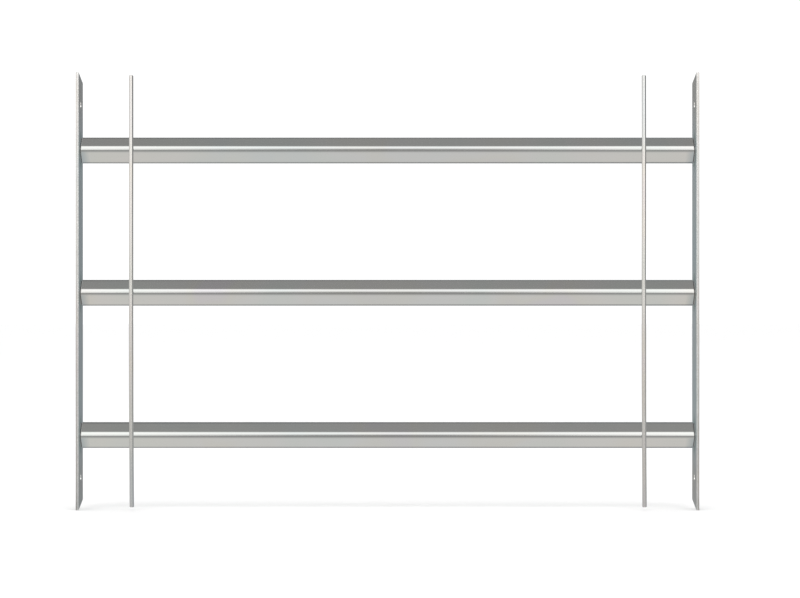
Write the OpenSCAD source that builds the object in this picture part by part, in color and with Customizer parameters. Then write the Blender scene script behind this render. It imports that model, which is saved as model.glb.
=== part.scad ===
// Extending window security grille: two side plates, three square rails on their corner
// and two round tie rods across the rails' front.
//
// Origin: the middle of the left plate's two screw holes, on the face that lies on the wall.
// +X runs across the window, -Y is the front, +Z is up. Millimetres.
// It is drawn pushed together, at its smallest width.

/* [Overall size] */
// Width over both side plates with the rails pushed together
closed_w = 640; // [520:5:900]
// Height of a side plate, measured along its front edge
plate_h = 450; // [360:5:700]

/* [Side plates] */
// Depth of a side plate, front to back
plate_d = 30; // [28:1:60]
// Thickness of a side plate
plate_t = 3; // [2:0.5:6]
// How far the back edge stops short of the front edge, at each end
end_drop = 8.5; // [2:0.5:15]
// Rounding of the two front corners
front_corner_r = 0.8; // [0.2:0.1:2]
// Rounding of the two back corners
back_corner_r = 2.5; // [0.5:0.5:5]
// Radius of a screw hole
hole_r = 3.25; // [2:0.25:4.5]
// Distance from a plate's end to the middle of its screw hole
hole_inset = 32.5; // [20:0.5:40]

/* [Rails] */
// Side of an outer rail's square section
outer_side = 22.5; // [18:0.5:24]
// Outside rounding of an outer rail's corners
outer_corner_r = 6; // [4:0.5:7]
// Wall of every rail
rail_wall = 1.5; // [1:0.1:1.7]
// Clearance between an inner rail and its outer rail, on each side
slide_gap = 0.3; // [0.2:0.05:0.5]
// Distance from a plate's end to the middle of the nearest rail
rail_inset = 78; // [66:1:120]
// How far the three rails sit below the plates' middle
rail_drop = 1.5; // [0:0.5:5]
// Gap between a plate and the outer rails when pushed together
rail_end_gap = 2; // [2:0.5:5]
// How far each end pulls out
end_travel = 160; // [60:5:170]
// Length of inner rail that stays inside when an end is pulled out
kept_inside = 78; // [40:1:80]

/* [Tie rods] */
// Diameter of a tie rod
rod_d = 4.5; // [3:0.5:8]
// Rounding of a tie rod's ends
rod_end_r = 0.8; // [0.2:0.1:1.4]
// How far a tie rod's end stops short of the plates' ends
rod_inset = 3.5; // [0:0.5:40]
// Distance from the end of the outer rails to the middle of a tie rod
rod_from_end = 52; // [10:1:120]
// Gap between a tie rod and the rails' front ridges, bridged by the welds
rod_gap = 0.05; // [0.02:0.01:0.2]

/* [Welds] */
// Height and reach of the weld between a plate and an inner rail
plate_weld = 1.4; // [0.8:0.1:1.5]
// Radius of the weld nugget between a tie rod and a rail
nugget_r = 2; // [1:0.1:2.2]

/* [Hidden] */
$fn = 128;
zinc = [0.80, 0.81, 0.80];
zinc_plate = [0.72, 0.75, 0.77];
zinc_inner = [0.66, 0.68, 0.69];
weld_grey = [0.52, 0.54, 0.55];

hole_spacing = plate_h - 2 * hole_inset;
bore_side = outer_side - 2 * rail_wall;
bore_corner_r = outer_corner_r - rail_wall;
inner_side = bore_side - 2 * slide_gap;
inner_corner_r = bore_corner_r - slide_gap;
inner_len = rail_end_gap + end_travel + kept_inside;
outer_start = plate_t + rail_end_gap;
outer_len = closed_w - 2 * outer_start;
ridge = outer_side / sqrt(2) - outer_corner_r * (sqrt(2) - 1);
rail_pitch = plate_h / 2 - rail_inset;
upper_z = rail_pitch - rail_drop;
middle_z = -rail_drop;
lower_z = -rail_pitch - rail_drop;
rod_r = rod_d / 2;
rod_x = outer_start + rod_from_end;
rod_y = -ridge - rod_gap - rod_r;
rod_len = plate_h - 2 * rod_inset;
eps = 1;

// ---- outlines ----

function unit(v) = v / norm(v);

// Half the angle of the corner at p between its neighbours a and b
function half_angle(a, p, b) = acos(unit(a - p) * unit(b - p)) / 2;

// Middle of the arc of radius r that rounds the corner at p
function arc_centre(a, p, b, r) =
    p + unit(unit(a - p) + unit(b - p)) * r / sin(half_angle(a, p, b));

// The two points where that arc leaves the straight sides
function arc_ends(a, p, b, r) =
    let (reach = r / tan(half_angle(a, p, b)))
    [p + unit(a - p) * reach, p + unit(b - p) * reach];

// A convex outline whose corner i is rounded by an arc of radius radii[i]
module rounded_outline(points, radii) {
    n = len(points);
    before = [for (i = [0:n - 1]) points[(i + n - 1) % n]];
    after = [for (i = [0:n - 1]) points[(i + 1) % n]];
    polygon([for (i = [0:n - 1]) each arc_ends(before[i], points[i], after[i], radii[i])]);
    for (i = [0:n - 1])
        translate(arc_centre(before[i], points[i], after[i], radii[i])) circle(radii[i]);
}

// A rounded square standing on its corner
module diamond(side, corner_r) {
    flat = side - 2 * corner_r;
    rotate(45) {
        square([flat, side], center = true);
        square([side, flat], center = true);
        for (x = [-flat / 2, flat / 2], y = [-flat / 2, flat / 2])
            translate([x, y]) circle(corner_r);
    }
}

// ---- shared shapes ----

// Extrudes a front-to-back outline along +X, from x
module along_x(x, len) {
    translate([x, 0, 0]) rotate([90, 0, 90]) linear_extrude(height = len) children();
}

// Draws a left-hand piece at the right-hand end
module at_right_end() {
    translate([closed_w, 0, 0]) mirror([1, 0, 0]) children();
}

module square_tube(x, len, side, corner_r, z) {
    translate([0, 0, z])
        difference() {
            along_x(x, len) diamond(side, corner_r);
            along_x(x - eps, len + 2 * eps)
                diamond(side - 2 * rail_wall, corner_r - rail_wall);
        }
}

module outer_rail(z) {
    square_tube(outer_start, outer_len, outer_side, outer_corner_r, z);
}

module inner_rail(z) {
    square_tube(plate_t, inner_len, inner_side, inner_corner_r, z);
}

module side_plate() {
    half_d = plate_d / 2;
    front_z = plate_h / 2;
    back_z = front_z - end_drop;
    difference() {
        along_x(0, plate_t)
            rounded_outline(
                [[-half_d, -front_z], [half_d, -back_z], [half_d, back_z], [-half_d, front_z]],
                [front_corner_r, back_corner_r, back_corner_r, front_corner_r]);
        for (side = [-1, 1])
            translate([-eps, 0, side * hole_spacing / 2])
                rotate([0, 90, 0]) cylinder(r = hole_r, h = plate_t + 2 * eps);
    }
}

module tie_rod() {
    translate([rod_x, rod_y, -rod_len / 2])
        rotate_extrude() {
            square([rod_r - rod_end_r, rod_len]);
            translate([0, rod_end_r]) square([rod_r, rod_len - 2 * rod_end_r]);
            for (end = [rod_end_r, rod_len - rod_end_r])
                translate([rod_r - rod_end_r, end]) circle(rod_end_r);
        }
}

// Ring of weld round an inner rail, on the plate's inner face
module plate_weld_ring(z) {
    translate([0, 0, z])
        difference() {
            along_x(plate_t, plate_weld)
                diamond(inner_side + 2 * plate_weld, inner_corner_r + plate_weld);
            along_x(plate_t - eps, plate_weld + 2 * eps) diamond(inner_side, inner_corner_r);
        }
}

// Weld nugget that fills the space between a tie rod and a rail's front ridge
module rod_weld_nugget(z) {
    difference() {
        translate([rod_x, -ridge / 2, z])
            rotate([90, 0, 0]) cylinder(r = nugget_r, h = -rod_y - ridge / 2);
        translate([0, 0, z])
            along_x(rod_x - rod_d, 2 * rod_d) diamond(outer_side, outer_corner_r);
        translate([rod_x, rod_y, z - rod_d]) cylinder(r = rod_r, h = 2 * rod_d);
    }
}

// ---- side plates ----

module left_side_plate() { color(zinc_plate) side_plate(); }
module right_side_plate() { color(zinc_plate) at_right_end() side_plate(); }

// ---- rails ----

module upper_outer_rail() { color(zinc) outer_rail(upper_z); }
module middle_outer_rail() { color(zinc) outer_rail(middle_z); }
module lower_outer_rail() { color(zinc) outer_rail(lower_z); }

module upper_left_inner_rail() { color(zinc_inner) inner_rail(upper_z); }
module middle_left_inner_rail() { color(zinc_inner) inner_rail(middle_z); }
module lower_left_inner_rail() { color(zinc_inner) inner_rail(lower_z); }

module upper_right_inner_rail() { color(zinc_inner) at_right_end() inner_rail(upper_z); }
module middle_right_inner_rail() { color(zinc_inner) at_right_end() inner_rail(middle_z); }
module lower_right_inner_rail() { color(zinc_inner) at_right_end() inner_rail(lower_z); }

// ---- tie rods ----

module left_tie_rod() { color(zinc) tie_rod(); }
module right_tie_rod() { color(zinc) at_right_end() tie_rod(); }

// ---- welds ----

module upper_left_plate_weld() { color(weld_grey) plate_weld_ring(upper_z); }
module middle_left_plate_weld() { color(weld_grey) plate_weld_ring(middle_z); }
module lower_left_plate_weld() { color(weld_grey) plate_weld_ring(lower_z); }

module upper_right_plate_weld() { color(weld_grey) at_right_end() plate_weld_ring(upper_z); }
module middle_right_plate_weld() { color(weld_grey) at_right_end() plate_weld_ring(middle_z); }
module lower_right_plate_weld() { color(weld_grey) at_right_end() plate_weld_ring(lower_z); }

module upper_left_rod_weld() { color(weld_grey) rod_weld_nugget(upper_z); }
module middle_left_rod_weld() { color(weld_grey) rod_weld_nugget(middle_z); }
module lower_left_rod_weld() { color(weld_grey) rod_weld_nugget(lower_z); }

module upper_right_rod_weld() { color(weld_grey) at_right_end() rod_weld_nugget(upper_z); }
module middle_right_rod_weld() { color(weld_grey) at_right_end() rod_weld_nugget(middle_z); }
module lower_right_rod_weld() { color(weld_grey) at_right_end() rod_weld_nugget(lower_z); }

// ---- drawing ----

left_side_plate();
right_side_plate();
upper_outer_rail();
middle_outer_rail();
lower_outer_rail();
upper_left_inner_rail();
middle_left_inner_rail();
lower_left_inner_rail();
upper_right_inner_rail();
middle_right_inner_rail();
lower_right_inner_rail();
left_tie_rod();
right_tie_rod();
upper_left_plate_weld();
middle_left_plate_weld();
lower_left_plate_weld();
upper_right_plate_weld();
middle_right_plate_weld();
lower_right_plate_weld();
upper_left_rod_weld();
middle_left_rod_weld();
lower_left_rod_weld();
upper_right_rod_weld();
middle_right_rod_weld();
lower_right_rod_weld();
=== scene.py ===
"""Looks of an extending window security grille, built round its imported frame.

Metres throughout, in the frame's own axes: +X across the window, -Y the front, +Z up.
"""

import math

import bmesh
import bpy
from bpy.props import FloatProperty, FloatVectorProperty, IntProperty, PointerProperty
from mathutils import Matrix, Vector


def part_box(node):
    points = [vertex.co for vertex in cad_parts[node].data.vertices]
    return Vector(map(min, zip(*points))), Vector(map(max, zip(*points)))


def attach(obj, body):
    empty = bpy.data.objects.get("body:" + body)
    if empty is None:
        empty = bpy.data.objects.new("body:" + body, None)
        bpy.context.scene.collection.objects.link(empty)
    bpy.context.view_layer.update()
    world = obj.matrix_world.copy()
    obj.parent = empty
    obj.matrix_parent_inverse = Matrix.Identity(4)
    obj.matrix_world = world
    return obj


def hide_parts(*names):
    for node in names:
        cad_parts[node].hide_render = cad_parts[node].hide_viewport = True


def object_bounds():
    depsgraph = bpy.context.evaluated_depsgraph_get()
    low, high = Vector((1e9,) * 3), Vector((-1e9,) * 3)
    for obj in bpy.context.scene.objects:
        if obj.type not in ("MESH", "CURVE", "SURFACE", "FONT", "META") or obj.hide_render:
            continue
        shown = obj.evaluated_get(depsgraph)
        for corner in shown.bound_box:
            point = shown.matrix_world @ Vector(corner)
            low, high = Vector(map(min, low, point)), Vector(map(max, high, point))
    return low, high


bl_info = {
    "name": "Window Security Grille",
    "version": (1, 0, 0),
    "blender": (4, 5, 0),
    "location": "3D View > Sidebar > Grille",
    "description": "Zinc-plated extending window grille: plates, sliding rails, tie rods and welds",
    "category": "Object",
}

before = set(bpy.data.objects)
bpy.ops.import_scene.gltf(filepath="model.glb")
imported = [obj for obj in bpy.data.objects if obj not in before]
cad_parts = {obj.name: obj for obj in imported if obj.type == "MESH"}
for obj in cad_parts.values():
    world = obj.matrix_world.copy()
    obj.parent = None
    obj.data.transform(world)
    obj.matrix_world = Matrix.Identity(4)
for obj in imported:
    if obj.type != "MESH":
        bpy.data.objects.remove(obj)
CAD_LOW, CAD_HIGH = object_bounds()
LEVELS = ("upper", "middle", "lower")
ENDS = ("left", "right")
MM = 0.001


def centre_of(node):
    low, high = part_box(node)
    return (low + high) / 2


def size_of(node):
    low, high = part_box(node)
    return high - low


INNER_RIDGE = size_of("middle_left_inner_rail").z / 2
ROD_RADIUS = size_of("left_tie_rod").x / 2
GRILLE_CENTRE = (CAD_LOW + CAD_HIGH) / 2

# A face of a side plate that is larger than this is one of its two broad sides.
BROAD_SIDE_AREA = 1000 * MM * MM
# A face of a tube that is larger than this share of its side times its length is one of its flats.
FLAT_SHARE = 0.2
# A bead's path lies this share of the bead's radius out from the rail and from the plate.
BEAD_SEAT = 0.35
# A rod weld's collar runs this share of the rod's radius from the middle of the weld.
COLLAR_REACH = 0.78
ROD_RINGS = 260


# ---- settings ----


class GrilleShape(bpy.types.PropertyGroup):
    """Sizes of the details that the frame doesn't carry"""

    outer_corner: FloatProperty(
        name="Outer rail corner", description="Outside corner radius of an outer rail",
        default=6 * MM, min=3 * MM, max=7 * MM, unit="LENGTH")
    inner_corner: FloatProperty(
        name="Inner rail corner", description="Outside corner radius of an inner rail",
        default=4.2 * MM, min=2.5 * MM, max=5 * MM, unit="LENGTH")
    wall: FloatProperty(
        name="Tube wall", description="Wall of every rail",
        default=1.5 * MM, min=1 * MM, max=2 * MM, unit="LENGTH")
    lip: FloatProperty(
        name="Tube lip", description="Rounding of a sawn tube end",
        default=0.35 * MM, min=0.1 * MM, max=0.7 * MM, unit="LENGTH")
    ring_inset: FloatProperty(
        name="Shading ring", description="How far inside a tube end the ring that keeps its faces flat is",
        default=1.5 * MM, min=0.8 * MM, max=4 * MM, unit="LENGTH")
    plate_ring_inset: FloatProperty(
        name="Plate shading ring", description="How far inside a plate's end its shading ring is",
        default=12 * MM, min=9 * MM, max=20 * MM, unit="LENGTH")
    arc_steps: IntProperty(
        name="Corner steps", description="Faces round one corner of a rail",
        default=14, min=4, max=32)
    plate_edge: FloatProperty(
        name="Plate edge", description="Rounding of the side plates' long edges",
        default=0.4 * MM, min=0.1 * MM, max=0.8 * MM, unit="LENGTH")
    rod_end: FloatProperty(
        name="Rod end", description="Rounding of a tie rod's cut ends",
        default=0.9 * MM, min=0.2 * MM, max=1.5 * MM, unit="LENGTH")
    rod_wave: FloatProperty(
        name="Rod waviness", description="How far a straightened wire still wanders",
        default=0.12 * MM, min=0, max=0.5 * MM, unit="LENGTH")
    rod_lean: FloatProperty(
        name="Rod lean", description="How far a rod's foot is bent to the right of its head",
        default=0.7 * MM, min=0, max=2 * MM, unit="LENGTH")
    bead: FloatProperty(
        name="Weld bead", description="Radius of the bead round an inner rail",
        default=0.95 * MM, min=0.5 * MM, max=1.2 * MM, unit="LENGTH")
    ripple: FloatProperty(
        name="Weld ripple", description="Distance from one ripple of a bead to the next",
        default=1.7 * MM, min=0.8 * MM, max=4 * MM, unit="LENGTH")
    collar: FloatProperty(
        name="Rod weld collar", description="Thickness of the collar squeezed out at a rod weld",
        default=0.55 * MM, min=0.3 * MM, max=0.9 * MM, unit="LENGTH")


class GrilleFinish(bpy.types.PropertyGroup):
    """Colours of the plating"""

    rail: FloatVectorProperty(
        name="Rails", description="Bright zinc on drawn square tube", subtype="COLOR",
        size=4, default=(0.564, 0.567, 0.557, 1), min=0, max=1)
    inner: FloatVectorProperty(
        name="Inner rails", description="Zinc rubbed along the slide", subtype="COLOR",
        size=4, default=(0.47, 0.49, 0.49, 1), min=0, max=1)
    plate: FloatVectorProperty(
        name="Side plates", description="Blue-passivated zinc on rolled flat bar", subtype="COLOR",
        size=4, default=(0.54, 0.61, 0.63, 1), min=0, max=1)
    cut: FloatVectorProperty(
        name="Cut edges", description="Plating over sheared steel", subtype="COLOR",
        size=4, default=(0.66, 0.66, 0.64, 1), min=0, max=1)
    edge: FloatVectorProperty(
        name="Plate edges", description="Plating over the rolled edges of flat bar", subtype="COLOR",
        size=4, default=(0.90, 0.895, 0.88, 1), min=0, max=1)
    rod: FloatVectorProperty(
        name="Tie rods", description="Bright zinc on drawn wire", subtype="COLOR",
        size=4, default=(0.79, 0.765, 0.735, 1), min=0, max=1)
    weld: FloatVectorProperty(
        name="Welds", description="Plated weld metal", subtype="COLOR",
        size=4, default=(0.30, 0.32, 0.33, 1), min=0, max=1)


class GrilleStage(bpy.types.PropertyGroup):
    """Camera and studio"""

    distance: FloatProperty(
        name="Camera distance", description="From the side plates' front edges to the lens",
        default=2.11, min=0.5, max=10, unit="LENGTH")
    view_width: FloatProperty(
        name="View width", description="Width of the view at the side plates' front edges",
        default=0.8209, min=0.3, max=3, unit="LENGTH")
    view_right: FloatProperty(
        name="View offset", description="How far the view's middle lies right of the grille's",
        default=0.0128, min=-0.2, max=0.2, unit="LENGTH")
    view_down: FloatProperty(
        name="View drop", description="How far the view's middle lies below the grille's",
        default=0.0079, min=-0.2, max=0.2, unit="LENGTH")
    floor: FloatVectorProperty(
        name="Floor", description="Pale studio floor", subtype="COLOR",
        size=4, default=(0.92, 0.92, 0.92, 1), min=0, max=1)
    floor_reach: FloatProperty(
        name="Floor reach", description="From the middle of the floor to its edges",
        default=12.0, min=2, max=50, unit="LENGTH")
    floor_gap: FloatProperty(
        name="Floor gap", description="How far the floor lies below the grille",
        default=0.2 * MM, min=0, max=5 * MM, unit="LENGTH")
    lamp_width: FloatProperty(
        name="Lamp width", description="Width of the lamp over the front of the grille",
        default=2.4, min=0.5, max=6, unit="LENGTH")
    lamp_depth: FloatProperty(
        name="Lamp depth", description="Depth of the lamp over the front of the grille",
        default=1.2, min=0.3, max=6, unit="LENGTH")
    lamp_ahead: FloatProperty(
        name="Lamp ahead", description="How far in front of the plates' screw holes the lamp hangs",
        default=1.3, min=0.2, max=6, unit="LENGTH")
    lamp_height: FloatProperty(
        name="Lamp height", description="How far above the middle of the plates the lamp hangs",
        default=2.0, min=0.5, max=6, unit="LENGTH")
    lamp_power: FloatProperty(
        name="Lamp power", description="Power of the lamp in watts",
        default=16.0, min=0, max=500)


SETTINGS = (
    ("grille_shape", GrilleShape),
    ("grille_finish", GrilleFinish),
    ("grille_stage", GrilleStage),
)


def shape():
    return bpy.context.scene.grille_shape


def finish():
    return bpy.context.scene.grille_finish


def stage():
    return bpy.context.scene.grille_stage


# ---- node helpers ----


def add(tree, kind, inputs=None, **properties):
    """One node. Inputs are given by name or number, as values or as sockets to link."""
    made = tree.nodes.new(kind)
    for name, value in properties.items():
        setattr(made, name, value)
    for key, value in (inputs or {}).items():
        if isinstance(value, bpy.types.NodeSocket):
            tree.links.new(value, made.inputs[key])
        else:
            made.inputs[key].default_value = value
    return made


def calc(tree, operation, *values, clamp=False):
    inputs = dict(enumerate(values))
    return add(tree, "ShaderNodeMath", inputs, operation=operation, use_clamp=clamp).outputs[0]


def vector_calc(tree, operation, *values):
    inputs = dict(enumerate(values))
    return add(tree, "ShaderNodeVectorMath", inputs, operation=operation).outputs[0]


def scaled(tree, vector, factor):
    return add(tree, "ShaderNodeVectorMath", {0: vector, "Scale": factor}, operation="SCALE").outputs[0]


def part_along(tree, vector, axis):
    """How far a vector goes along an axis."""
    return add(tree, "ShaderNodeVectorMath", {0: vector, 1: axis}, operation="DOT_PRODUCT").outputs["Value"]


def fade(tree, value, start, end, first=0.0, last=1.0, **properties):
    """Goes from first to last while the value goes from start to end."""
    return add(tree, "ShaderNodeMapRange", {
        "Value": value, "From Min": start, "From Max": end, "To Min": first, "To Max": last},
        **properties).outputs[0]


def multiply_tint(tree, mask, color, tint):
    """The color, multiplied by the tint as far as the mask says."""
    return add(tree, "ShaderNodeMix", {0: mask, 6: color, 7: tint},
               data_type="RGBA", blend_type="MULTIPLY").outputs[2]


def uneven(tree, distance, place, scale, detail, reach):
    """A distance that strays by up to half of reach either way, which gives a zone a ragged rim."""
    wobble = add(tree, "ShaderNodeTexNoise", {"Vector": place, "Scale": scale, "Detail": detail})
    centred = calc(tree, "SUBTRACT", wobble.outputs["Fac"], 0.5)
    return calc(tree, "MULTIPLY_ADD", centred, reach, distance)


def set_stops(node, stops):
    """Gives a colour ramp its stops, as (place from 0 to 1, colour) in rising order."""
    elements = node.color_ramp.elements
    elements.remove(elements[-1])
    for number, (place, color) in enumerate(stops):
        stop = elements[0] if number == 0 else elements.new(place)
        stop.position = place
        stop.color = color


def new_group(name, kind, inputs, outputs):
    """A node group and its input sockets by name. Inputs are (name, socket type, default)."""
    tree = bpy.data.node_groups.new(name, kind)
    for socket_name, socket_type, default in inputs:
        socket = tree.interface.new_socket(socket_name, in_out="INPUT", socket_type=socket_type)
        if default is not None:
            socket.default_value = default
    for socket_name, socket_type in outputs:
        tree.interface.new_socket(socket_name, in_out="OUTPUT", socket_type=socket_type)
    source = tree.nodes.new("NodeGroupInput")
    return tree, source.outputs


def close_group(tree, **results):
    sink = tree.nodes.new("NodeGroupOutput")
    for name, socket in results.items():
        tree.links.new(socket, sink.inputs[name.replace("_", " ")])
    return tree


FLOAT, VECTOR, COLOR = "NodeSocketFloat", "NodeSocketVector", "NodeSocketColor"
INT, MATERIAL, GEOMETRY = "NodeSocketInt", "NodeSocketMaterial", "NodeSocketGeometry"


# ---- shared surface effects ----


def make_drawn_lines():
    """Fine lines left along a drawn or rolled bar."""
    tree, given = new_group(
        "drawn_lines", "ShaderNodeTree",
        [("Vector", VECTOR, None), ("Stretch", VECTOR, (20, 1500, 1500)), ("Contrast", FLOAT, 1.0)],
        [("Lines", FLOAT)])
    place = vector_calc(tree, "MULTIPLY", given["Vector"], given["Stretch"])
    streaks = add(tree, "ShaderNodeTexNoise", {
        "Vector": place, "Scale": 1.0, "Detail": 4.0, "Roughness": 0.6})
    centred = calc(tree, "SUBTRACT", streaks.outputs["Fac"], 0.5)
    lines = calc(tree, "MULTIPLY_ADD", centred, given["Contrast"], 0.5, clamp=True)
    return close_group(tree, Lines=lines)


# The plating's faint colours: place on the ramp, then colour.
CLOUD_HUES = (
    (0.30, (0.86, 0.97, 1.0, 1)),
    (0.42, (0.93, 1.0, 0.96, 1)),
    (0.52, (1.0, 1.0, 1.0, 1)),
    (0.62, (1.0, 0.97, 0.88, 1)),
    (0.72, (0.97, 0.90, 1.0, 1)))


def make_passivation_tint():
    """Faint blue, green and straw clouds of a bright passivated plating."""
    tree, given = new_group(
        "passivation_tint", "ShaderNodeTree",
        [("Color", COLOR, (0.6, 0.6, 0.6, 1)), ("Vector", VECTOR, None),
         ("Cloud Size", FLOAT, 0.09), ("Amount", FLOAT, 0.5)],
        [("Color", COLOR)])
    per_cloud = calc(tree, "DIVIDE", 1.0, given["Cloud Size"])
    clouds = add(tree, "ShaderNodeTexNoise", {
        "Vector": given["Vector"], "Scale": per_cloud, "Detail": 2.0, "Roughness": 0.45, "Distortion": 0.4})
    hues = add(tree, "ShaderNodeValToRGB", {"Fac": clouds.outputs["Fac"]})
    set_stops(hues, CLOUD_HUES)
    tinted = multiply_tint(tree, given["Amount"], given["Color"], hues.outputs["Color"])
    return close_group(tree, Color=tinted)


def make_plating_grain():
    """Fine grain of zinc crystals, with a few coarser pimples."""
    tree, given = new_group(
        "plating_grain", "ShaderNodeTree",
        [("Vector", VECTOR, None), ("Grain Size", FLOAT, 0.0006), ("Pimples", FLOAT, 0.3)],
        [("Height", FLOAT), ("Shade", FLOAT)])
    per_grain = calc(tree, "DIVIDE", 1.0, given["Grain Size"])
    grain = add(tree, "ShaderNodeTexNoise", {
        "Vector": given["Vector"], "Scale": per_grain, "Detail": 3.0, "Roughness": 0.65})
    wide = calc(tree, "MULTIPLY", per_grain, 0.18)
    pimples = add(tree, "ShaderNodeTexNoise", {
        "Vector": given["Vector"], "Scale": wide, "Detail": 2.0, "Roughness": 0.5})
    raised = fade(tree, pimples.outputs["Fac"], 0.58, 0.72)
    height = calc(tree, "MULTIPLY_ADD", raised, given["Pimples"], grain.outputs["Fac"])
    return close_group(tree, Height=height, Shade=grain.outputs["Fac"])


def make_handling_marks():
    """Sparse hairline scratches and dull smudges from handling."""
    tree, given = new_group(
        "handling_marks", "ShaderNodeTree",
        [("Vector", VECTOR, None), ("Spacing", FLOAT, 0.02)],
        [("Scratches", FLOAT), ("Smudges", FLOAT)])
    per_mark = calc(tree, "DIVIDE", 1.0, given["Spacing"])
    warp = add(tree, "ShaderNodeTexNoise", {"Vector": given["Vector"], "Scale": per_mark, "Detail": 1.0})
    bent = vector_calc(tree, "ADD", given["Vector"], warp.outputs["Color"])
    cells = add(tree, "ShaderNodeTexVoronoi", {"Vector": bent, "Scale": per_mark},
                feature="DISTANCE_TO_EDGE")
    hairline = fade(tree, cells.outputs["Distance"], 0.0, 0.012, 1.0, 0.0)
    patches = add(tree, "ShaderNodeTexNoise", {
        "Vector": given["Vector"], "Scale": calc(tree, "MULTIPLY", per_mark, 0.5), "Detail": 3.0})
    broken = fade(tree, patches.outputs["Fac"], 0.56, 0.62)
    scratches = calc(tree, "MULTIPLY", hairline, broken)
    smudges = fade(tree, patches.outputs["Fac"], 0.35, 0.7)
    return close_group(tree, Scratches=scratches, Smudges=smudges)


def make_end_zone():
    """How near a point is to the closer end of the grille, measured along one of its axes."""
    tree, given = new_group(
        "end_zone", "ShaderNodeTree",
        [("Vector", VECTOR, None), ("Axis", VECTOR, (1, 0, 0)), ("Near", FLOAT, 0.0), ("Far", FLOAT, 0.01)],
        [("Mask", FLOAT)])
    from_middle = vector_calc(tree, "SUBTRACT", given["Vector"], GRILLE_CENTRE)
    inside = part_along(tree, vector_calc(tree, "ABSOLUTE", from_middle), given["Axis"])
    half = part_along(tree, CAD_HIGH - GRILLE_CENTRE, given["Axis"])
    from_end = calc(tree, "SUBTRACT", half, inside)
    ragged = uneven(tree, from_end, given["Vector"], 420.0, 2.0, 0.8 * MM)
    return close_group(tree, Mask=fade(tree, ragged, given["Near"], given["Far"], 1.0, 0.0))


# The share of the painted shade round the welds that reaches a plate's outer face.
OUTER_SHADE_SHARE = 0.15


def make_painted_weld_shade():
    """How near a point on a plate is to the closest rail's diamond: the mask of painted shade where the
    rails meet the plates.
    """
    tree, given = new_group(
        "painted_weld_shade", "ShaderNodeTree",
        [("Vector", VECTOR, None), ("Near", FLOAT, 0.014), ("Far", FLOAT, 0.022)],
        [("Mask", FLOAT)])
    place = add(tree, "ShaderNodeSeparateXYZ", {0: given["Vector"]}).outputs
    depth = calc(tree, "ABSOLUTE", place["Y"])
    closest = None
    for level in LEVELS:
        height = centre_of(f"{level}_outer_rail").z
        rise = calc(tree, "ABSOLUTE", calc(tree, "SUBTRACT", place["Z"], height))
        closest = rise if closest is None else calc(tree, "MINIMUM", closest, rise)
    ragged = uneven(tree, calc(tree, "ADD", depth, closest), given["Vector"], 160.0, 3.0, 8 * MM)
    mask = fade(tree, ragged, given["Near"], given["Far"], 1.0, 0.0, interpolation_type="SMOOTHSTEP")
    normal = add(tree, "ShaderNodeNewGeometry").outputs["Normal"]
    across = add(tree, "ShaderNodeSeparateXYZ", {0: normal}).outputs["X"]
    from_middle = calc(tree, "SUBTRACT", place["X"], GRILLE_CENTRE.x)
    inner_side = calc(tree, "LESS_THAN", calc(tree, "MULTIPLY", across, from_middle), 0.0)
    share = calc(tree, "MULTIPLY_ADD", inner_side, 1.0 - OUTER_SHADE_SHARE, OUTER_SHADE_SHARE)
    return close_group(tree, Mask=calc(tree, "MULTIPLY", mask, share))


EFFECTS = {
    "drawn_lines": make_drawn_lines,
    "passivation_tint": make_passivation_tint,
    "plating_grain": make_plating_grain,
    "handling_marks": make_handling_marks,
    "end_zone": make_end_zone,
    "painted_weld_shade": make_painted_weld_shade,
}


def effect(tree, name, inputs):
    group = bpy.data.node_groups.get(name) or EFFECTS[name]()
    made = tree.nodes.new("ShaderNodeGroup")
    made.node_tree = group
    for key, value in inputs.items():
        if isinstance(value, bpy.types.NodeSocket):
            tree.links.new(value, made.inputs[key])
        else:
            made.inputs[key].default_value = value
    return made.outputs


# ---- materials ----


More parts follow.
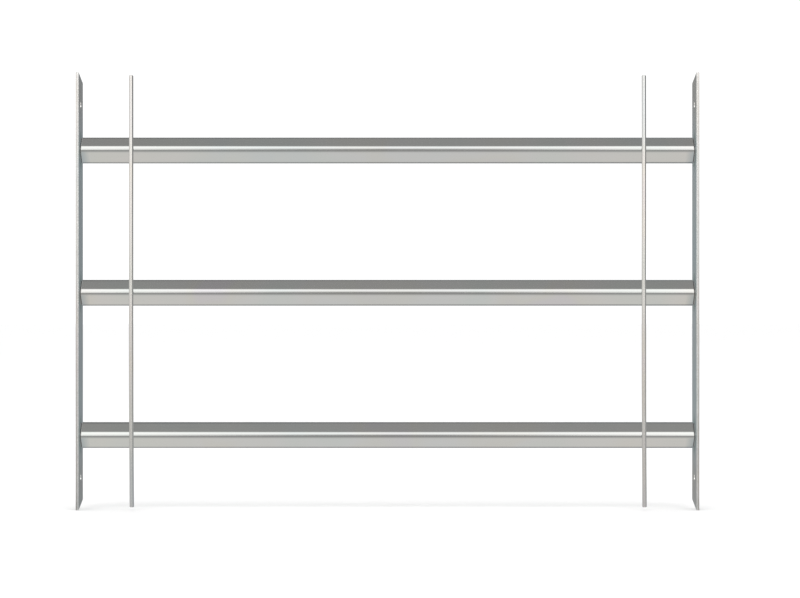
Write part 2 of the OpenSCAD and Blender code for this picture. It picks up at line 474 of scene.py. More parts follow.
def zinc(name, color, smooth, rough, stretch, lines, tint, grain, bump, marks=0.3, near_ends=None,
         near_welds=None, near_tips=None):
    """Plated steel. smooth and rough are the lowest and highest roughness, stretch the lines' direction.

    near_ends is (near, far, tint, underside only) for a darker tint towards the grille's ends, which on the
    rails and inner rails is painted shade next to the plates. near_welds is (near, far, tint) for painted
    shade on the plates round the rails' welds, and near_tips is the same for plating that changes towards
    the top and bottom of the plates.
    """
    found = bpy.data.materials.get(name)
    if found:
        return found
    made = bpy.data.materials.new(name)
    made.use_nodes = True
    tree = made.node_tree
    tree.nodes.clear()
    place = add(tree, "ShaderNodeTexCoord").outputs["Object"]
    drawn = effect(tree, "drawn_lines", {"Vector": place, "Stretch": stretch, "Contrast": lines})
    plating = effect(tree, "plating_grain", {"Vector": place, "Grain Size": grain, "Pimples": 0.35})
    worn = effect(tree, "handling_marks", {"Vector": place, "Spacing": 0.022})
    clouded = effect(tree, "passivation_tint", {"Color": tuple(color), "Vector": place, "Amount": tint})
    shade = calc(tree, "MULTIPLY_ADD", drawn["Lines"], 0.10, 0.95)
    shaded = scaled(tree, clouded["Color"], shade)
    # A darker tint towards the grille's ends, painted shade next to the plates on the rails and inner rails.
    if near_ends:
        near, far, end_tint, underside = near_ends
        zone = effect(tree, "end_zone", {"Vector": place, "Near": near, "Far": far})["Mask"]
        if underside:
            normal = add(tree, "ShaderNodeNewGeometry").outputs["Normal"]
            down = add(tree, "ShaderNodeSeparateXYZ", {0: normal}).outputs["Z"]
            zone = calc(tree, "MULTIPLY", zone, fade(tree, down, -0.1, -0.6))
        shaded = multiply_tint(tree, zone, shaded, (*end_tint, 1))
    if near_tips:
        near, far, tip_tint = near_tips
        tips = effect(tree, "end_zone", {
            "Vector": place, "Axis": (0, 0, 1), "Near": near, "Far": far})["Mask"]
        shaded = multiply_tint(tree, tips, shaded, (*tip_tint, 1))
    if near_welds:
        # Painted shade on the plates round the rails' welds.
        near, far, shade_tint = near_welds
        halo = effect(tree, "painted_weld_shade", {"Vector": place, "Near": near, "Far": far})["Mask"]
        shaded = multiply_tint(tree, halo, shaded, (*shade_tint, 1))
    spread = calc(tree, "MULTIPLY_ADD", worn["Smudges"], 0.6, calc(tree, "MULTIPLY", drawn["Lines"], 0.4))
    roughness = fade(tree, spread, 0.0, 1.0, smooth, rough)
    scratched = calc(tree, "MULTIPLY", worn["Scratches"], -marks)
    relief = calc(tree, "ADD", plating["Height"], calc(tree, "MULTIPLY_ADD", drawn["Lines"], 0.8, scratched))
    bumped = add(tree, "ShaderNodeBump", {"Strength": 1.0, "Distance": bump, "Height": relief})
    shader = add(tree, "ShaderNodeBsdfPrincipled", {
        "Base Color": shaded, "Metallic": 1.0, "Roughness": roughness, "Normal": bumped.outputs[0]})
    sink = add(tree, "ShaderNodeOutputMaterial", {"Surface": shader.outputs[0]})
    sink.is_active_output = True
    made.diffuse_color = tuple(color)
    return made


ALONG_X = (12, 1400, 1400)
ALONG_Z = (1400, 1400, 12)


# The rails' tint near their ends is painted shade and a painted reflection of the plates on the rails'
# undersides.
def rail_zinc():
    return zinc("rail_zinc_surface", finish().rail, 0.10, 0.16, ALONG_X, 0.5, 0.35, 0.0009, 0.0000012,
                near_ends=(0.0055, 0.0135, (0.68, 0.75, 0.80), True))


# The inner rails' dark tint near their ends is painted shade in the gap next to the plates.
def inner_zinc():
    return zinc("inner_zinc_surface", finish().inner, 0.22, 0.42, (6, 700, 700), 1.4, 0.25, 0.0007,
                0.00001, near_ends=(0.006, 0.011, (0.26, 0.25, 0.24), False))


# The plates' tint round the rails' welds is painted shade where the rails meet the plates.
def plate_zinc():
    return zinc("plate_zinc_surface", finish().plate, 0.40, 0.55, ALONG_Z, 0.8, 0.35, 0.0011, 0.00002,
                near_welds=(0.014, 0.026, (0.62, 0.70, 0.66)),
                near_tips=(0.030, 0.070, (1.00, 0.90, 0.86)))


def cut_zinc():
    return zinc("cut_zinc_surface", finish().cut, 0.38, 0.60, (900, 1200, 160), 1.6, 0.2, 0.0008,
                0.00009, marks=0.1)


def edge_zinc():
    return zinc("edge_zinc_surface", finish().edge, 0.16, 0.28, (500, 900, 260), 1.5, 0.3, 0.0009,
                0.00001, marks=0.1, near_ends=(0.0010, 0.0018, (0.62, 0.60, 0.59), False))


def rod_zinc():
    return zinc("rod_zinc_surface", finish().rod, 0.14, 0.22, (900, 900, 25), 0.7, 0.4, 0.0035, 0.000012,
                near_tips=(0.025, 0.085, (0.985, 1.0, 1.035)))


def weld_metal():
    return zinc("weld_surface", finish().weld, 0.35, 0.60, (500, 500, 500), 1.2, 0.8, 0.0007, 0.00006,
                marks=0.0)


# ---- geometry rules ----


def link(name, data):
    """A new object in the scene that holds a mesh, a camera or a lamp."""
    made = bpy.data.objects.new(name, data)
    bpy.context.scene.collection.objects.link(made)
    return made


def grow(rule, name, **values):
    """A plain mesh object grown by a geometry tree whose named inputs take the given values."""
    piece = link(name, bpy.data.meshes.new(name))
    modifier = piece.modifiers.new("rule", "NODES")
    modifier.node_group = rule
    wanted = {key.replace("_", " "): value for key, value in values.items()}
    for item in rule.interface.items_tree:
        if item.item_type == "SOCKET" and item.in_out == "INPUT" and item.name in wanted:
            modifier[item.identifier] = wanted.pop(item.name)
    if wanted:
        raise ValueError(f"{rule.name} has no input named {sorted(wanted)}")
    bpy.context.view_layer.update()
    grown = bpy.data.meshes.new_from_object(piece.evaluated_get(bpy.context.evaluated_depsgraph_get()))
    piece.modifiers.clear()
    piece.data = grown
    grown.name = name
    if not grown.polygons:
        raise ValueError(f"{name} came out empty")
    return piece


def finish_tree(tree, geometry, material):
    real = add(tree, "GeometryNodeRealizeInstances", {"Geometry": geometry}).outputs[0]
    painted = add(tree, "GeometryNodeSetMaterial", {"Geometry": real, "Material": material}).outputs[0]
    return close_group(tree, Geometry=painted)


def diamond_path(tree, side, corner, steps):
    """A rounded square lying in XY, standing on its corner, with normals in its own plane."""
    square = add(tree, "GeometryNodeCurvePrimitiveQuadrilateral", {"Width": side, "Height": side})
    rounded = add(tree, "GeometryNodeFilletCurve", {
        "Curve": square.outputs[0], "Count": steps, "Radius": corner}, mode="POLY")
    turned = add(tree, "GeometryNodeTransform", {
        "Geometry": rounded.outputs[0], "Rotation": (0, 0, math.radians(45))})
    return add(tree, "GeometryNodeSetCurveNormal", {"Curve": turned.outputs[0]}, mode="Z_UP").outputs[0]


def stand_across(tree, geometry, place):
    """Turns what was built along Z to run along X, then moves it."""
    return add(tree, "GeometryNodeTransform", {
        "Geometry": geometry, "Rotation": (0, math.radians(90), 0), "Translation": place}).outputs[0]


def swept_round(tree, curve, radius, sides, caps=False):
    """A round section with that many sides, swept along a curve, with its radius point by point."""
    sized = add(tree, "GeometryNodeSetCurveRadius", {"Curve": curve, "Radius": radius}).outputs[0]
    ring = add(tree, "GeometryNodeCurvePrimitiveCircle", {"Resolution": sides, "Radius": 1.0}).outputs[0]
    swept = add(tree, "GeometryNodeCurveToMesh", {
        "Curve": sized, "Profile Curve": ring, "Fill Caps": caps})
    if "Scale" in swept.inputs:
        tree.links.new(radius, swept.inputs["Scale"])
    return swept.outputs[0]


def make_rail_rule():
    """A square tube on its corner: the wall's long section, swept round the tube's outline."""
    tree, given = new_group(
        "rail_rule", "GeometryNodeTree",
        [("Side", FLOAT, None), ("Corner", FLOAT, None), ("Wall", FLOAT, None), ("Length", FLOAT, None),
         ("Lip", FLOAT, None), ("Steps", INT, None), ("Centre", VECTOR, None),
         ("Material", MATERIAL, None), ("End Material", MATERIAL, None)],
        [("Geometry", GEOMETRY)])
    middle = calc(tree, "SUBTRACT", given["Side"], given["Wall"])
    bend = calc(tree, "SUBTRACT", given["Corner"], calc(tree, "MULTIPLY", given["Wall"], 0.5))
    outline = diamond_path(tree, middle, bend, given["Steps"])
    section = add(tree, "GeometryNodeCurvePrimitiveQuadrilateral", {
        "Width": given["Wall"], "Height": given["Length"]})
    section = add(tree, "GeometryNodeFilletCurve", {
        "Curve": section.outputs[0], "Count": 3, "Radius": given["Lip"]}, mode="POLY")
    tube = add(tree, "GeometryNodeCurveToMesh", {
        "Curve": outline, "Profile Curve": section.outputs[0]}).outputs[0]
    facet = calc(tree, "MULTIPLY", calc(tree, "MULTIPLY", given["Side"], given["Length"]), FLAT_SHARE)
    area = add(tree, "GeometryNodeInputMeshFaceArea").outputs[0]
    curved = calc(tree, "LESS_THAN", area, facet)
    shaded = add(tree, "GeometryNodeSetShadeSmooth", {
        "Geometry": tube, "Selection": curved, "Shade Smooth": True}).outputs[0]
    flat = calc(tree, "GREATER_THAN", area, facet)
    shaded = add(tree, "GeometryNodeSetShadeSmooth", {
        "Geometry": shaded, "Selection": flat, "Shade Smooth": False}).outputs[0]
    placed = stand_across(tree, shaded, given["Centre"])
    real = add(tree, "GeometryNodeRealizeInstances", {"Geometry": placed}).outputs[0]
    painted = add(tree, "GeometryNodeSetMaterial", {
        "Geometry": real, "Material": given["Material"]}).outputs[0]
    normal = add(tree, "ShaderNodeSeparateXYZ", {0: add(tree, "GeometryNodeInputNormal").outputs[0]})
    end_on = calc(tree, "GREATER_THAN", calc(tree, "ABSOLUTE", normal.outputs["X"]), 0.5)
    ends = add(tree, "GeometryNodeSetMaterial", {
        "Geometry": painted, "Selection": end_on, "Material": given["End Material"]}).outputs[0]
    return close_group(tree, Geometry=ends)


def make_rod_rule():
    """A straightened wire with rounded cut ends, along Z."""
    tree, given = new_group(
        "rod_rule", "GeometryNodeTree",
        [("Radius", FLOAT, None), ("Length", FLOAT, None), ("End Round", FLOAT, None),
         ("Wave", FLOAT, None), ("Lean", FLOAT, None), ("Centre", VECTOR, None),
         ("Seed", FLOAT, None), ("Material", MATERIAL, None)],
        [("Geometry", GEOMETRY)])
    line = add(tree, "GeometryNodeCurvePrimitiveLine", {"Start": (0, 0, -0.5), "End": (0, 0, 0.5)})
    rings = add(tree, "GeometryNodeResampleCurve", {
        "Curve": line.outputs[0], "Count": ROD_RINGS})
    count = add(tree, "GeometryNodeInputIndex").outputs[0]
    eased = calc(tree, "COSINE", calc(tree, "MULTIPLY", count, math.pi / (ROD_RINGS - 1)))
    half = calc(tree, "MULTIPLY", given["Length"], 0.5)
    height = calc(tree, "MULTIPLY", calc(tree, "MULTIPLY", eased, -1.0), half)
    up = add(tree, "ShaderNodeCombineXYZ", {"Z": height}).outputs[0]
    wander = add(tree, "ShaderNodeTexNoise", {
        "Vector": up, "W": given["Seed"], "Scale": 14.0, "Detail": 2.0}, noise_dimensions="4D")
    shift = vector_calc(tree, "SUBTRACT", wander.outputs["Color"], (0.5, 0.5, 0.5))
    shift = vector_calc(tree, "MULTIPLY", shift, (2, 2, 0))
    shift = scaled(tree, shift, given["Wave"])
    squared = calc(tree, "POWER", eased, 2.0)
    bend = calc(tree, "MULTIPLY_ADD", squared, eased, squared)
    lean = calc(tree, "MULTIPLY", bend, calc(tree, "MULTIPLY", given["Lean"], 0.5))
    axis = add(tree, "ShaderNodeCombineXYZ", {"X": lean, "Z": height}).outputs[0]
    where = vector_calc(tree, "ADD", vector_calc(tree, "ADD", shift, axis), given["Centre"])
    bent = add(tree, "GeometryNodeSetPosition", {"Geometry": rings.outputs[0], "Position": where}).outputs[0]
    to_end = calc(tree, "SUBTRACT", half, calc(tree, "ABSOLUTE", height))
    short = calc(tree, "MAXIMUM", calc(tree, "SUBTRACT", given["End Round"], to_end), 0.0)
    round_squared = calc(tree, "POWER", given["End Round"], 2.0)
    square = calc(tree, "SUBTRACT", round_squared, calc(tree, "POWER", short, 2.0))
    curve = calc(tree, "SQRT", calc(tree, "MAXIMUM", square, 0.0))
    radius = calc(tree, "ADD", calc(tree, "SUBTRACT", given["Radius"], given["End Round"]), curve)
    rod = swept_round(tree, bent, radius, 28, caps=True)
    return finish_tree(tree, rod, given["Material"])


def make_bead_rule():
    """A rippled weld bead laid round a square tube where it meets a plate."""
    tree, given = new_group(
        "bead_rule", "GeometryNodeTree",
        [("Side", FLOAT, None), ("Corner", FLOAT, None), ("Bead", FLOAT, None), ("Ripple", FLOAT, None),
         ("Centre", VECTOR, None), ("Seed", FLOAT, None), ("Material", MATERIAL, None)],
        [("Geometry", GEOMETRY)])
    outline = diamond_path(tree, given["Side"], given["Corner"], 6)
    path = add(tree, "GeometryNodeResampleCurve", {
        "Curve": outline, "Length": 0.22 * MM}, mode="LENGTH").outputs[0]
    along = add(tree, "GeometryNodeSplineParameter").outputs["Length"]
    place = add(tree, "GeometryNodeInputPosition").outputs[0]
    wander = add(tree, "ShaderNodeTexNoise", {
        "Vector": place, "W": given["Seed"], "Scale": 260.0, "Detail": 1.0}, noise_dimensions="4D")
    drift = calc(tree, "MULTIPLY", wander.outputs["Fac"], given["Ripple"])
    turn = calc(tree, "FRACT", calc(tree, "DIVIDE", calc(tree, "ADD", along, drift), given["Ripple"]))
    arch = calc(tree, "SQRT", calc(tree, "MULTIPLY", turn, calc(tree, "SUBTRACT", 1.0, turn)))
    swell = calc(tree, "MULTIPLY_ADD", arch, 0.34, 0.80)
    swell = calc(tree, "MULTIPLY_ADD", wander.outputs["Fac"], 0.16, calc(tree, "SUBTRACT", swell, 0.08))
    radius = calc(tree, "MULTIPLY", swell, given["Bead"])
    bead = swept_round(tree, path, radius, 12)
    return finish_tree(tree, stand_across(tree, bead, given["Centre"]), given["Material"])


def make_flash_rule():
    """The collar of metal squeezed out where a rod is pressure-welded across a ridge."""
    tree, given = new_group(
        "flash_rule", "GeometryNodeTree",
        [("Radius", FLOAT, None), ("Rod Side", FLOAT, None), ("Ridge Side", FLOAT, None),
         ("Thickness", FLOAT, None), ("Centre", VECTOR, None), ("Seed", FLOAT, None),
         ("Material", MATERIAL, None)],
        [("Geometry", GEOMETRY)])
    circle = add(tree, "GeometryNodeCurvePrimitiveCircle", {
        "Resolution": 56, "Radius": given["Radius"]}).outputs[0]
    share = add(tree, "GeometryNodeSplineParameter").outputs["Factor"]
    angle = calc(tree, "MULTIPLY", share, 2 * math.pi)
    side = calc(tree, "POWER", calc(tree, "COSINE", angle), 2.0)
    top = calc(tree, "SUBTRACT", 1.0, side)
    rise = calc(tree, "SUBTRACT", calc(tree, "MULTIPLY", given["Rod Side"], side),
                calc(tree, "MULTIPLY", given["Ridge Side"], top))
    lift = add(tree, "ShaderNodeCombineXYZ", {"Z": rise}).outputs[0]
    lifted = add(tree, "GeometryNodeSetPosition", {"Geometry": circle, "Offset": lift}).outputs[0]
    place = add(tree, "GeometryNodeInputPosition").outputs[0]
    lumps = add(tree, "ShaderNodeTexNoise", {
        "Vector": place, "W": given["Seed"], "Scale": 700.0, "Detail": 1.0}, noise_dimensions="4D")
    wider_at_rod = calc(tree, "MULTIPLY_ADD", side, 0.45, 0.35)
    swell = calc(tree, "MULTIPLY_ADD", lumps.outputs["Fac"], 0.7, wider_at_rod)
    radius = calc(tree, "MULTIPLY", swell, given["Thickness"])
    flash = swept_round(tree, lifted, radius, 10)
    upright = add(tree, "GeometryNodeTransform", {
        "Geometry": flash, "Rotation": (math.radians(90), 0, 0), "Translation": given["Centre"]})
    return finish_tree(tree, upright.outputs[0], given["Material"])


RULES = {
    "rail_rule": make_rail_rule,
    "rod_rule": make_rod_rule,
    "bead_rule": make_bead_rule,
    "flash_rule": make_flash_rule,
}


def rule(name):
    return bpy.data.node_groups.get(name) or RULES[name]()


# ---- pieces ----


def settle(piece, body, node):
    """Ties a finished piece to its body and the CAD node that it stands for."""
    face_outwards(piece.data)
    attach(piece, body)
    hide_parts(node)


def face_outwards(mesh):
    work = bmesh.new()
    work.from_mesh(mesh)
    bmesh.ops.recalc_face_normals(work, faces=work.faces)
    if work.calc_volume(signed=True) < 0:
        bmesh.ops.reverse_faces(work, faces=work.faces)
    work.to_mesh(mesh)
    work.free()


def add_rings(mesh, direction, places):
    """Cuts rings across a long piece, so that its rounded ends don't tilt the shading of its long faces."""
    work = bmesh.new()
    work.from_mesh(mesh)
    for place in places:
        bmesh.ops.bisect_plane(
            work, geom=work.verts[:] + work.edges[:] + work.faces[:], dist=0.001 * MM,
            plane_co=Vector(direction) * place, plane_no=direction)
    work.to_mesh(mesh)
    work.free()


def side_from_ridge(ridge, corner):
    """Side of a rounded square whose rounded corners lie at that distance from its middle."""
    return (ridge + corner * (math.sqrt(2) - 1)) * math.sqrt(2)


def build_rail(node, body, corner, surface):
    low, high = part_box(node)
    piece = grow(
        rule("rail_rule"), node.replace("rail", "tube"),
        Side=side_from_ridge((high.z - low.z) / 2, corner), Corner=corner, Wall=shape().wall,
        Length=high.x - low.x, Lip=shape().lip, Steps=shape().arc_steps, Centre=(low + high) / 2,
        Material=surface, End_Material=cut_zinc())
    add_rings(piece.data, (1, 0, 0), (low.x + shape().ring_inset, high.x - shape().ring_inset))
    piece.visible_glossy = False
    settle(piece, body, node)


class GRILLE_OT_outer_rails(bpy.types.Operator):
    """Build the three outer rails, which slide as one with the tie rods"""

    bl_idname = "grille.outer_rails"
    bl_label = "Outer Rails"

    def execute(self, context):
        for level in LEVELS:
            build_rail(
                f"{level}_outer_rail", "centre_section",
                shape().outer_corner, rail_zinc())
        return {"FINISHED"}


class GRILLE_OT_inner_rails(bpy.types.Operator):
    """Build the inner rails that carry each side plate"""

    bl_idname = "grille.inner_rails"
    bl_label = "Inner Rails"

    def execute(self, context):
        for end in ENDS:
            for level in LEVELS:
                build_rail(
                    f"{level}_{end}_inner_rail", f"{end}_end",
                    shape().inner_corner, inner_zinc())
        return {"FINISHED"}


def is_plate_rim(face):
    """Whether a face of a side plate is a cut edge, and not one of its two broad sides."""
    return abs(face.normal.x) < 0.7


class GRILLE_OT_side_plates(bpy.types.Operator):
    """Build the two side plates from the frame's outline, with rounded rims and sheared edges"""

    bl_idname = "grille.side_plates"
    bl_label = "Side Plates"

    def execute(self, context):
        for end in ENDS:
            node = f"{end}_side_plate"
            work = bmesh.new()
            work.from_mesh(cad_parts[node].data)
            bmesh.ops.remove_doubles(work, verts=work.verts, dist=0.01 * MM)
            bmesh.ops.dissolve_limit(
                work, angle_limit=math.radians(1), verts=work.verts, edges=work.edges)
            sharp = [e for e in work.edges if e.calc_face_angle(0) > math.radians(40)]
            bmesh.ops.bevel(
                work, geom=sharp, offset=shape().plate_edge, segments=3, profile=0.5, affect="EDGES",
                clamp_overlap=True)
            for face in work.faces:
                broad = abs(face.normal.x) > 0.999 and face.calc_area() > BROAD_SIDE_AREA
                face.smooth = not broad
                face.material_index = int(is_plate_rim(face))
            mesh = bpy.data.meshes.new(f"{end}_plate")
            work.to_mesh(mesh)
            work.free()
            low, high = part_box(node)
            inset = shape().plate_ring_inset
            add_rings(mesh, (0, 0, 1), (low.z + inset, high.z - inset))
            mesh.materials.append(plate_zinc())
            mesh.materials.append(edge_zinc())
            plate = link(f"{end}_plate", mesh)
            plate.visible_glossy = False
            settle(plate, f"{end}_end", node)
        return {"FINISHED"}


class GRILLE_OT_tie_rods(bpy.types.Operator):
    """Build the two tie rods across the rails' front"""

    bl_idname = "grille.tie_rods"
    bl_label = "Tie Rods"

    def execute(self, context):
        for seed, end in enumerate(ENDS):
            node = f"{end}_tie_rod"
            piece = grow(
                rule("rod_rule"), f"{end}_wire", Radius=ROD_RADIUS, Length=size_of(node).z,
                End_Round=shape().rod_end, Wave=shape().rod_wave, Lean=shape().rod_lean,
                Centre=centre_of(node), Seed=7.3 + 4.1 * seed, Material=rod_zinc())
            for face in piece.data.polygons:
                face.use_smooth = len(face.vertices) == 4
            piece.visible_glossy = False
            settle(piece, "centre_section", node)
        return {"FINISHED"}


class GRILLE_OT_plate_welds(bpy.types.Operator):
    """Lay a rippled bead round each inner rail where it meets its plate"""

    bl_idname = "grille.plate_welds"
    bl_label = "Plate Welds"

    def execute(self, context):
        bead = shape().bead
        seat = BEAD_SEAT * bead
        side = side_from_ridge(INNER_RIDGE, shape().inner_corner) + 2 * seat
        for end, inward in zip(ENDS, (1, -1)):
            low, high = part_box(f"{end}_side_plate")
            plate_face = high.x if inward > 0 else low.x
            for count, level in enumerate(LEVELS):
                node = f"{level}_{end}_plate_weld"
                centre = centre_of(node)
                centre.x = plate_face + inward * seat
                piece = grow(
                    rule("bead_rule"), f"{level}_{end}_bead", Side=side, Corner=shape().inner_corner + seat,
                    Bead=bead, Ripple=shape().ripple, Centre=centre, Seed=count + 3.7 * inward,
                    Material=weld_metal())
                piece.visible_glossy = False
                settle(piece, f"{end}_end", node)
        return {"FINISHED"}


class GRILLE_OT_rod_welds(bpy.types.Operator):
    """Lay the squeezed-out collar at each crossing of a tie rod and a rail"""

    bl_idname = "grille.rod_welds"
    bl_label = "Rod Welds"

    def execute(self, context):
        reach = COLLAR_REACH * ROD_RADIUS
        corner = shape().outer_corner
        rod_gap = ROD_RADIUS - math.sqrt(ROD_RADIUS**2 - reach**2)
        ridge_gap = corner - math.sqrt(corner**2 - reach**2)
        for count, end in enumerate(ENDS):
            for step, level in enumerate(LEVELS):
                node = f"{level}_{end}_rod_weld"
                centre = centre_of(node)
                centre.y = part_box(f"{level}_outer_rail")[0].y
                piece = grow(
                    rule("flash_rule"), f"{level}_{end}_flash", Radius=reach, Rod_Side=rod_gap / 2,
                    Ridge_Side=ridge_gap / 2, Thickness=shape().collar, Centre=centre,
                    Seed=5.0 * count + step, Material=weld_metal())
                piece.visible_glossy = False
                settle(piece, "centre_section", node)
        return {"FINISHED"}


# ---- stage ----


# What the room shows to metal, going round the grille's long axis from behind, below, in front and above.
# Straight ahead stands the camera in its dark corner. To either side the soft box fills the view.
ROOM_AHEAD = (
    (-180, 0.42, 0.0), (-150, 0.40, 0.0), (-104, 0.58, 0.0), (-97, 0.92, 0.0), (-60, 0.88, 0.0),
    (-45, 0.78, 0.0), (-30, 0.52, 0.0), (-20, 0.43, 0.0), (8, 0.41, 0.0), (18, 0.75, 0.0),
    (30, 1.35, -0.01), (50, 1.60, -0.01), (66, 1.35, -0.01), (78, 0.62, 0.0), (84, 0.43, 0.0),
    (98, 0.42, 0.0), (112, 0.27, 0.0), (150, 0.27, 0.0), (172, 0.42, 0.0))
ROOM_ASIDE = (
    (-180, 0.42, 0.0), (-150, 0.42, 0.01), (-106, 0.66, 0.02), (-97, 0.94, 0.04), (-60, 0.92, 0.04),
    (-45, 0.80, 0.02), (-32, 0.60, 0.02), (-20, 0.47, 0.01), (-12, 0.50, 0.01), (-6, 0.54, 0.01),
    (-2.5, 0.68, 0.01), (0, 1.02, 0.01), (2.5, 1.42, 0.01), (7, 1.52, 0.01), (20, 1.64, 0.01),
    (35, 1.74, 0.01), (68, 1.72, 0.01), (77, 1.10, 0.01), (84, 0.42, 0.01), (98, 0.38, 0.01),
    (112, 0.25, 0.01), (150, 0.26, 0.01), (172, 0.42, 0.0))


# Past the soft box the room is dimmer: how far to the side, how high, and the part of the light lost there.
DIM_ZONES = (
    ((0.35, 0.70), (-0.10, 0.10), 0.45),
    ((0.25, 0.50), (0.25, 0.50), 0.30))
# What fills the room on the camera's right.
DARK_SIDE = (0.40, 0.41, 0.42, 1)
# What everything but a reflection sees.
WHITE_ALL_ROUND = (1.12, 1.12, 1.12, 1)


def room_tone(tree, facing):
    """The room by direction: one ramp ahead, another to the sides, and a dark right side."""
    level = calc(tree, "SQRT", calc(tree, "SUBTRACT", 1.0, calc(tree, "POWER", facing["Z"], 2.0)))
    beside = calc(tree, "MULTIPLY", fade(tree, facing["X"], -0.2, -0.5), fade(tree, facing["Y"], 0.65, 0.4))
    forward = add(tree, "ShaderNodeMix", {
        0: beside, 2: calc(tree, "MULTIPLY", facing["Y"], -1.0), 3: level}, data_type="FLOAT").outputs[0]
    circle = calc(tree, "ARCTAN2", facing["Z"], forward)
    round_x = calc(tree, "MULTIPLY_ADD", circle, 0.5 / math.pi, 0.5)
    ahead = add(tree, "ShaderNodeValToRGB", {"Fac": round_x})
    paint_room(ahead, ROOM_AHEAD)
    aside = add(tree, "ShaderNodeValToRGB", {"Fac": round_x})
    paint_room(aside, ROOM_ASIDE)
    step = fade(tree, calc(tree, "ABSOLUTE", facing["X"]), 0.03, 0.15)
    room = add(tree, "ShaderNodeMix", {0: step, 6: ahead.outputs[0], 7: aside.outputs[0]}, data_type="RGBA")
    to_right = calc(tree, "MULTIPLY_ADD", facing["X"], 0.8, calc(tree, "MULTIPLY", facing["Y"], 0.6))
    dark = fade(tree, to_right, 0.15, 0.45)
    shaded = add(tree, "ShaderNodeMix", {0: dark, 6: room.outputs[2], 7: DARK_SIDE}, data_type="RGBA")
    return shaded.outputs[2]


def light_kept(tree, facing):
    """The share of the room's light that is left past the soft box."""
    sideways = calc(tree, "ABSOLUTE", facing["X"])
    lit = 1.0
    for across, up, loss in DIM_ZONES:
        zone = calc(tree, "MULTIPLY", fade(tree, sideways, *across), fade(tree, facing["Z"], *up))
        kept = calc(tree, "SUBTRACT", 1.0, calc(tree, "MULTIPLY", zone, loss))
        lit = calc(tree, "MULTIPLY", lit, kept)
    return lit


def studio_world():
    """White all round, with a studio's soft box, dark corners and dim ceiling in what metal reflects."""
    world = bpy.data.worlds.new("studio")
    bpy.context.scene.world = world
    world.use_nodes = True
    tree = world.node_tree
    tree.nodes.clear()
    direction = add(tree, "ShaderNodeTexCoord").outputs["Generated"]
    facing = add(tree, "ShaderNodeSeparateXYZ", {0: direction}).outputs
    dimmed = scaled(tree, room_tone(tree, facing), light_kept(tree, facing))
    reflected = add(tree, "ShaderNodeLightPath").outputs["Is Glossy Ray"]
    mixed = add(tree, "ShaderNodeMix", {0: reflected, 6: WHITE_ALL_ROUND, 7: dimmed}, data_type="RGBA")
    light = add(tree, "ShaderNodeBackground", {"Color": mixed.outputs[2], "Strength": 1.0})
    add(tree, "ShaderNodeOutputWorld", {"Surface": light.outputs[0]})
    world.cycles.sampling_method = "NONE"


def paint_room(node, stops):
    """Gives a colour ramp its stops from (degrees up from the front, brightness, warmth)."""
    set_stops(node, [
        ((degrees + 180) / 360, (grey * (1 + warmth), grey, grey * (1 - warmth), 1))
        for degrees, grey, warmth in stops])


def pale_floor():
    half = stage().floor_reach
    z = CAD_LOW.z - stage().floor_gap
    mesh = bpy.data.meshes.new("floor")
    mesh.from_pydata(
        [(-half, -half, z), (half, -half, z), (half, half, z), (-half, half, z)], [], [(0, 1, 2, 3)])
    floor = link("floor", mesh)
    paint = bpy.data.materials.new("floor_paint")
    paint.use_nodes = True
    shader = paint.node_tree.nodes["Principled BSDF"]
    shader.inputs["Base Color"].default_value = stage().floor
    shader.inputs["Roughness"].default_value = 0.8
    shader.inputs["Specular IOR Level"].default_value = 0.1
    mesh.materials.append(paint)
    floor.visible_glossy = False


def set_camera():
    view = stage()
    data = bpy.data.cameras.new("camera")
    camera = link("camera", data)
    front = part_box("left_side_plate")[0].y
    camera.location = (GRILLE_CENTRE.x, front - view.distance, GRILLE_CENTRE.z)
    camera.rotation_euler = (math.radians(90), 0, 0)
    data.sensor_width = 36.0
    data.lens = data.sensor_width * view.distance / view.view_width
    data.shift_x = view.view_right / view.view_width
    data.shift_y = -view.view_down / view.view_width
    data.clip_end = 60.0
    bpy.context.scene.camera = camera


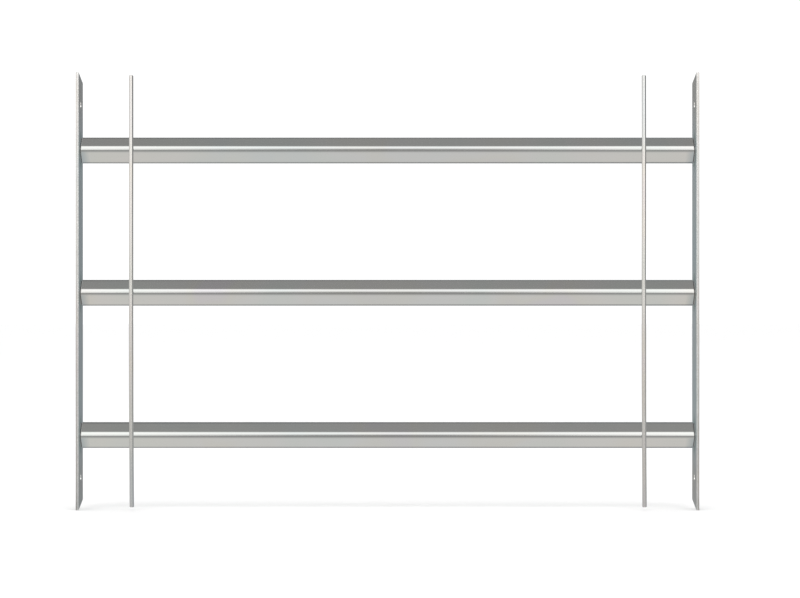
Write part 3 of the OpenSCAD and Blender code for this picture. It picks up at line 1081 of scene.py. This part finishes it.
def soft_box():
    """The lamp over the front of the grille that whitens the floor."""
    data = bpy.data.lights.new("soft_box", "AREA")
    data.shape = "RECTANGLE"
    data.size = stage().lamp_width
    data.size_y = stage().lamp_depth
    data.energy = stage().lamp_power
    lamp = link("soft_box", data)
    lamp.location = (GRILLE_CENTRE.x, -stage().lamp_ahead, stage().lamp_height)
    lamp.rotation_euler = (Vector(lamp.location) - GRILLE_CENTRE).to_track_quat("Z", "Y").to_euler()
    lamp.visible_camera = False
    lamp.visible_glossy = False


class GRILLE_OT_stage(bpy.types.Operator):
    """Set up the pale floor, the studio light and the camera"""

    bl_idname = "grille.stage"
    bl_label = "Stage"

    def execute(self, context):
        context.scene.view_settings.view_transform = "Standard"
        studio_world()
        pale_floor()
        soft_box()
        set_camera()
        return {"FINISHED"}


class GRILLE_PT_panel(bpy.types.Panel):
    """Lists the grille's pieces in the order they are built"""

    bl_label = "Window Security Grille"
    bl_idname = "GRILLE_PT_panel"
    bl_space_type = "VIEW_3D"
    bl_region_type = "UI"
    bl_category = "Grille"

    def draw(self, context):
        for operator in OPERATORS:
            self.layout.operator(operator.bl_idname)
        for name, _ in SETTINGS:
            settings = getattr(context.scene, name)
            box = self.layout.box()
            for key in type(settings).__annotations__:
                box.prop(settings, key)


OPERATORS = (
    GRILLE_OT_stage,
    GRILLE_OT_side_plates,
    GRILLE_OT_outer_rails,
    GRILLE_OT_inner_rails,
    GRILLE_OT_tie_rods,
    GRILLE_OT_plate_welds,
    GRILLE_OT_rod_welds,
)


def register():
    for name, group in SETTINGS:
        bpy.utils.register_class(group)
        setattr(bpy.types.Scene, name, PointerProperty(type=group))
    for operator in OPERATORS:
        bpy.utils.register_class(operator)
    bpy.utils.register_class(GRILLE_PT_panel)


def unregister():
    bpy.utils.unregister_class(GRILLE_PT_panel)
    for operator in reversed(OPERATORS):
        bpy.utils.unregister_class(operator)
    for name, group in reversed(SETTINGS):
        delattr(bpy.types.Scene, name)
        bpy.utils.unregister_class(group)


def main():
    register()
    bpy.ops.grille.stage()
    bpy.ops.grille.side_plates()
    bpy.ops.grille.outer_rails()
    bpy.ops.grille.inner_rails()
    bpy.ops.grille.tie_rods()
    bpy.ops.grille.plate_welds()
    bpy.ops.grille.rod_welds()


if __name__ == "__main__":
    main()
